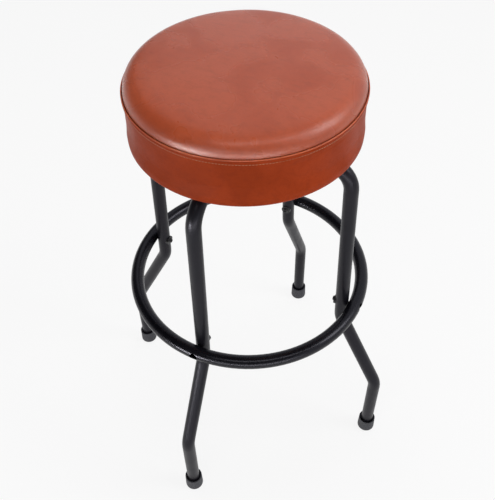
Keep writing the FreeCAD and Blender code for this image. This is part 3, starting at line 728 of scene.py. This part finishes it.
def plywood():
    """Rotary-cut birch face with its plies showing at the edge."""
    material, tree, shader, here = new_finish("plywood")
    along = stretched(tree, here, scale=(6, 70, 70), turn=12)
    figure = between(
        tree, cloudy(tree, along, 1, detail=6, rough=0.6, distortion=1.2), 0.35, 0.7
    )
    face = tinted(tree, figure, (0.58, 0.4, 0.22), (0.38, 0.23, 0.11))
    plies = added(tree, "ShaderNodeTexWave", {"Vector": here, "Scale": 82})
    plies.wave_type = "BANDS"
    plies.bands_direction = "Z"
    layers = between(tree, plies.outputs["Fac"], 0.3, 0.7)
    edge = tinted(tree, layers, (0.5, 0.33, 0.17), (0.24, 0.14, 0.07))
    normal = added(tree, "ShaderNodeNewGeometry").outputs["Normal"]
    flat = combined(tree, "ABSOLUTE", height_in(tree, normal))
    on_face = between(tree, flat, 0.5, 0.8)
    fine = stretched(tree, here, scale=(60, 900, 900), turn=12)
    fibres = cloudy(tree, fine, 1, detail=3, rough=0.6)
    inputs = {
        "Base Color": tinted(tree, on_face, edge, face),
        "Roughness": 0.68,
        "Normal": raised(tree, fibres, 0.00012, 0.5),
    }
    feed(tree, shader, inputs)
    return material


def thread(name, colour):
    """Twisted sewing thread."""
    material, tree, shader, here = new_finish(name)
    twist = cloudy(tree, here, 3000, detail=2, rough=0.5)
    darker = tuple(value * DARK_TWIST for value in colour)
    feed(tree, shader, {"Base Color": tinted(tree, twist, darker, colour), "Roughness": 0.6})
    return material


def coat(piece, material):
    """Gives a piece or a CAD node one material."""
    piece.data.materials.clear()
    piece.data.materials.append(material)


# Stage, lights and camera. The dark parts of what gloss sees are (azimuth, elevation, closeness
# to that direction where the dark starts, closeness where it is full, brightness left there).

FLOOR_REACH = 40
FLOOR_GLOW = 0.86
AIM_HEIGHT = 0.6
ROOM_STRENGTH = 0.22
DARK_CEILING = (-30, 64, 0.5, 0.68, 0.02)
DARK_LEFT_WALL = (-100, 0, 0.22, 0.6, 0.12)


def floor():
    """Wide pale floor that the camera sees near white, with the stool's soft shadow on it."""
    shape = bmesh.new()
    bmesh.ops.create_grid(shape, x_segments=1, y_segments=1, size=FLOOR_REACH)
    mesh = bpy.data.meshes.new("floor")
    shape.to_mesh(mesh)
    shape.free()
    ground = bpy.data.objects.new("floor", mesh)
    bpy.context.scene.collection.objects.link(ground)
    material = bpy.data.materials.new("pale_floor")
    material.use_nodes = True
    tree = material.node_tree
    tree.nodes.clear()
    matt = added(tree, "ShaderNodeBsdfDiffuse", {"Color": (0.9, 0.9, 0.9, 1)})
    glow = added(tree, "ShaderNodeEmission", {"Color": (1, 1, 1, 1), "Strength": 1.0})
    rays = added(tree, "ShaderNodeLightPath").outputs
    seen = combined(tree, "MAXIMUM", rays["Is Camera Ray"], rays["Is Glossy Ray"])
    share = combined(tree, "MULTIPLY", seen, FLOOR_GLOW)
    surface = mixed(tree, share, matt.outputs["BSDF"], glow.outputs["Emission"])
    added(tree, "ShaderNodeOutputMaterial", {"Surface": surface})
    mesh.materials.append(material)


def seen_from_camera(azimuth, elevation):
    """A direction; azimuth is counted from the camera's side, positive to its right."""
    around = math.radians(azimuth + CAMERA_HEADING - 90)
    up = math.radians(elevation)
    return Vector((math.cos(around) * math.cos(up), math.sin(around) * math.cos(up), math.sin(up)))


def surroundings():
    """Even light from all round. The camera sees it white, and so does gloss, but for a dark
    ceiling that comes down towards the front and a darker wall on the left."""
    world = bpy.data.worlds.new("studio")
    bpy.context.scene.world = world
    world.use_nodes = True
    tree = world.node_tree
    tree.nodes.clear()
    direction = added(tree, "ShaderNodeTexCoord").outputs["Generated"]
    levels = []
    for azimuth, elevation, start, full, least in (DARK_CEILING, DARK_LEFT_WALL):
        towards = added(
            tree, "ShaderNodeVectorMath", {0: direction, 1: seen_from_camera(azimuth, elevation)}
        )
        towards.operation = "DOT_PRODUCT"
        levels.append(between(tree, towards.outputs["Value"], start, full, 1.0, least))
    room = {"Color": (0.98, 0.98, 1.0, 1), "Strength": ROOM_STRENGTH}
    in_gloss = {"Color": (0.78, 0.8, 0.84, 1), "Strength": combined(tree, "MULTIPLY", *levels)}
    in_camera = {"Color": (1, 1, 1, 1)}
    path = added(tree, "ShaderNodeLightPath")
    rays = added(tree, "ShaderNodeBackground", room).outputs["Background"]
    for ray, light in (("Is Glossy Ray", in_gloss), ("Is Camera Ray", in_camera)):
        seen = added(tree, "ShaderNodeBackground", light).outputs["Background"]
        rays = mixed(tree, path.outputs[ray], rays, seen)
    added(tree, "ShaderNodeOutputWorld", {"Surface": rays})


def softbox(name, azimuth, elevation, distance, size, power, lights="both"):
    """A rectangular lamp that lights the matt side of a finish, its gloss, or both."""
    lamp = bpy.data.lights.new(name, "AREA")
    lamp.shape = "RECTANGLE"
    lamp.size, lamp.size_y = size
    lamp.energy = power
    holder = bpy.data.objects.new(name, lamp)
    bpy.context.scene.collection.objects.link(holder)
    away = seen_from_camera(azimuth, elevation)
    holder.location = Vector((0, 0, AIM_HEIGHT)) + away * distance
    holder.rotation_euler = away.to_track_quat("Z", "Y").to_euler()
    holder.visible_glossy = lights != "matt"
    holder.visible_diffuse = lights != "gloss"


def photo_camera():
    """The camera at the photograph's place, fitted to the feet, knees, ring and seat."""
    yaw, pitch, roll = (math.radians(a) for a in (CAMERA_YAW, CAMERA_PITCH, CAMERA_ROLL))
    level = math.cos(pitch)
    ahead = Vector((math.sin(yaw) * level, math.cos(yaw) * level, -math.sin(pitch)))
    right = Vector((math.cos(yaw), -math.sin(yaw), 0))
    above = right.cross(ahead)
    across = right * math.cos(roll) + above * math.sin(roll)
    upward = above * math.cos(roll) - right * math.sin(roll)
    turn = Matrix((across, upward, -ahead)).transposed().to_4x4()
    place = Matrix.Translation((0, -CAMERA_DISTANCE, CAMERA_HEIGHT))
    lens = bpy.data.cameras.new("photo_camera")
    lens.sensor_fit = "VERTICAL"
    lens.sensor_height = SENSOR_MM
    lens.lens = FOCAL_PX * SENSOR_MM / PHOTO_HEIGHT_PX
    camera = bpy.data.objects.new("photo_camera", lens)
    bpy.context.scene.collection.objects.link(camera)
    camera.matrix_world = Matrix.Rotation(math.radians(CAMERA_HEADING), 4, "Z") @ place @ turn
    bpy.context.scene.camera = camera


# The stool.

top_vinyl = vinyl(
    "top_vinyl",
    pale=(0.49, 0.088, 0.031),
    deep=(0.43, 0.07, 0.022),
    shadow=(0.2, 0.03, 0.01),
    rough=0.29,
    gloss=0.5,
    seam_shade_heights=TOP_SEAM_SHADE,
    topcoat=0.1,
)
# The band's vinyl is the top's vinyl made darker and deeper: its own colour with painted shade of
# the upright band in it.
side_vinyl = vinyl(
    "side_vinyl",
    pale=(0.41, 0.05, 0.009),
    deep=(0.35, 0.041, 0.006),
    shadow=(0.16, 0.018, 0.005),
    rough=0.42,
    gloss=0.045,
)
# Painted highlight: a lighter copy of the band's vinyl for the seam's turned edge, the paler
# stretched edge with the light along its crest painted in.
lit_ridge_vinyl = vinyl(
    "lit_ridge_vinyl",
    pale=(0.62, 0.13, 0.045),
    deep=(0.52, 0.09, 0.028),
    shadow=(0.25, 0.035, 0.012),
    rough=0.3,
    gloss=0.35,
)
leg_coat = powder_coat(
    "leg_coat", (0.0075, 0.0075, 0.0105), rough=0.33, peel=0.000007, gloss=0.2
)
ring_coat = powder_coat("ring_coat", (0.004, 0.004, 0.006), rough=0.26, peel=0, gloss=0.3)
rubber = moulded_rubber()
oxide = black_oxide()
zinc = plated_steel("zinc_plate", (0.68, 0.68, 0.66), rough=0.3, patch=(0.5, 0.49, 0.44))
bearing_steel = plated_steel(
    "bearing_steel", (0.72, 0.72, 0.72), rough=0.12, patch=(0.6, 0.6, 0.58)
)
birch = plywood()
pale_thread = thread("pale_thread", (0.62, 0.3, 0.16))
# Near black: the seam thread with painted shade of its stitch holes.
dark_thread_and_hole_shade = thread("dark_thread_and_hole_shade", (0.035, 0.007, 0.003))

coat(cushion(), top_vinyl)
coat(side_cover(), side_vinyl)
coat(seam_ridge(), lit_ridge_vinyl)
topstitch = stitches(
    "topstitch", CHANNEL_RADIUS, BAND_TOP - CHANNEL_DROP, TOPSTITCH_PITCH, "side_vinyl"
)
coat(topstitch, pale_thread)
# The seam stitches are near-black dashes on the roll's wall: thread, with painted shade of the
# stitch holes in its dark colour.
seam_stitch = stitches(
    "seam_stitch",
    PANEL_RADIUS - SEAM_STITCH_INSET,
    BAND_TOP + SEAM_STITCH_RISE,
    SEAM_PITCH,
    "top_vinyl",
)
coat(seam_stitch, dark_thread_and_hole_shade)
coat(hem_staples(), zinc)
coat(round_ring(), ring_coat)

finish_of_node = {
    "upper_leg_frame": leg_coat,
    "lower_leg_frame": leg_coat,
    "foot_discs": zinc,
    "ring_bolts": oxide,
    "ring_washers": oxide,
    "ring_nuts": zinc,
    "frame_bolts": oxide,
    "frame_washers": oxide,
    "frame_nuts": zinc,
    "swivel_lower_plate": zinc,
    "swivel_upper_plate": zinc,
    "swivel_rivet": zinc,
    "bearing_balls": bearing_steel,
    "ball_cage": bearing_steel,
    "seat_board": birch,
    "seat_bolts": zinc,
    "tee_nuts": zinc,
}
for side in ("right", "back", "left", "front"):
    finish_of_node[f"foot_cap_{side}"] = rubber
for node, material in finish_of_node.items():
    coat(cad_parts[node], material)

floor()
surroundings()
# Azimuth, elevation and distance from the aim, then the lamp's width and height.
softbox("top_softbox", 175, 76, 3.2, (2.6, 1.8), power=42, lights="matt")
softbox("front_softbox", -20, 17, 3.0, (2.4, 1.5), power=28, lights="matt")
softbox("right_softbox", 78, 36, 3.0, (1.2, 1.4), power=32)
softbox("low_left_strip", -46, -9, 1.8, (0.8, 0.22), power=22, lights="gloss")
softbox("low_front_strip", 2, -8, 1.8, (2.2, 0.26), power=15, lights="gloss")
softbox("overhead_strip", 10, 60, 2.6, (2.4, 0.4), power=14, lights="gloss")
photo_camera()
bpy.context.scene.view_settings.view_transform = "Standard"
